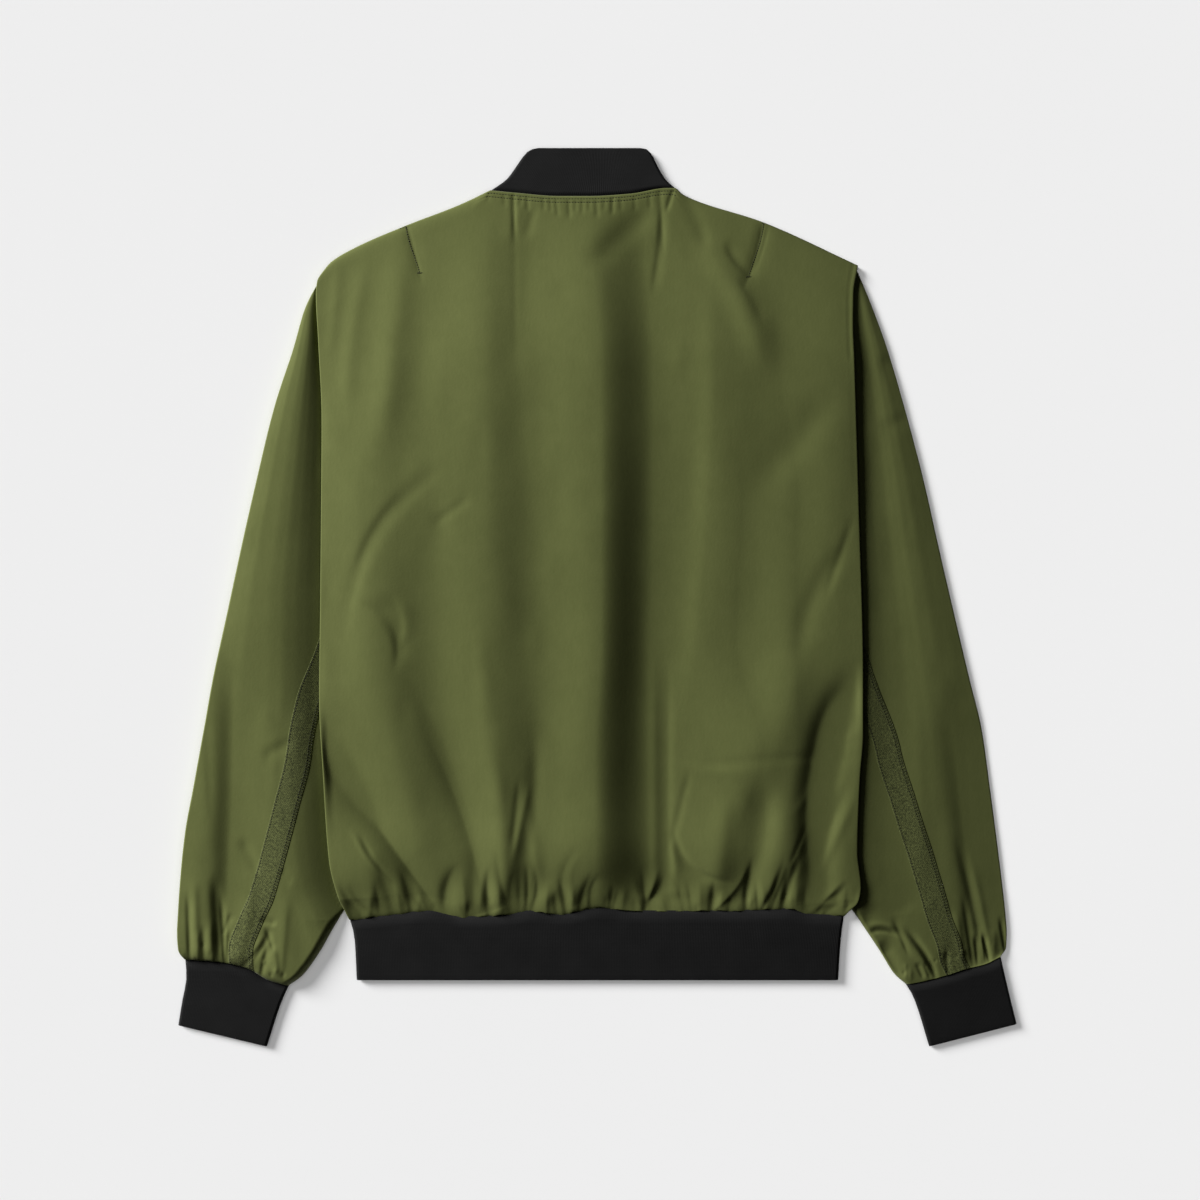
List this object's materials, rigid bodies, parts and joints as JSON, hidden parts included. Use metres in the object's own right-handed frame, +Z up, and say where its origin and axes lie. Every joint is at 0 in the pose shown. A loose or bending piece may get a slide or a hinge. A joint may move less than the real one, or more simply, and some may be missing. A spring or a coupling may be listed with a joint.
{
  "type": "bomber jacket laid flat",
  "caption": "Bomber jacket laid flat with its back up: satin shell with taped sleeve seams, gathered onto a rib knit hem band, cuffs and collar, and a closed front zip underneath.",
  "frame": {"origin": "middle of the outline of the jacket, on the surface that it lies on", "axes": "+X to the wearer's right, +Y from the hem band to the collar, +Z up from the surface, from the fronts to the back"},
  "size_m": [0.728, 0.78, 0.0175],
  "materials": {
    "satin": "satin",
    "twill": "matte",
    "rib": "matte",
    "zip_weave": "matte",
    "gunmetal": "satin"
  },
  "bodies": {
    "jacket": {"back": "satin", "front_left": "satin", "front_right": "satin", "sleeve_top_left": "satin", "sleeve_top_right": "satin", "sleeve_under_left": "satin", "sleeve_under_right": "satin", "tape_left": "twill", "tape_right": "twill", "collar": "rib", "hem_band": "rib", "cuff_left": "rib", "cuff_right": "rib", "zip_tape_left": "zip_weave", "zip_tape_right": "zip_weave", "zip_slider": "gunmetal"},
    "pull_tab": {"zip_pull": "gunmetal"}
  },
  "joints": [
    {"name": "zip_pull_hinge", "type": "hinge", "parent": "jacket", "child": "pull_tab", "pos_m": [-0.007, 0.236, 0.0016], "axis": [1, 0, 0], "range_deg": [0, 170]}
  ]
}
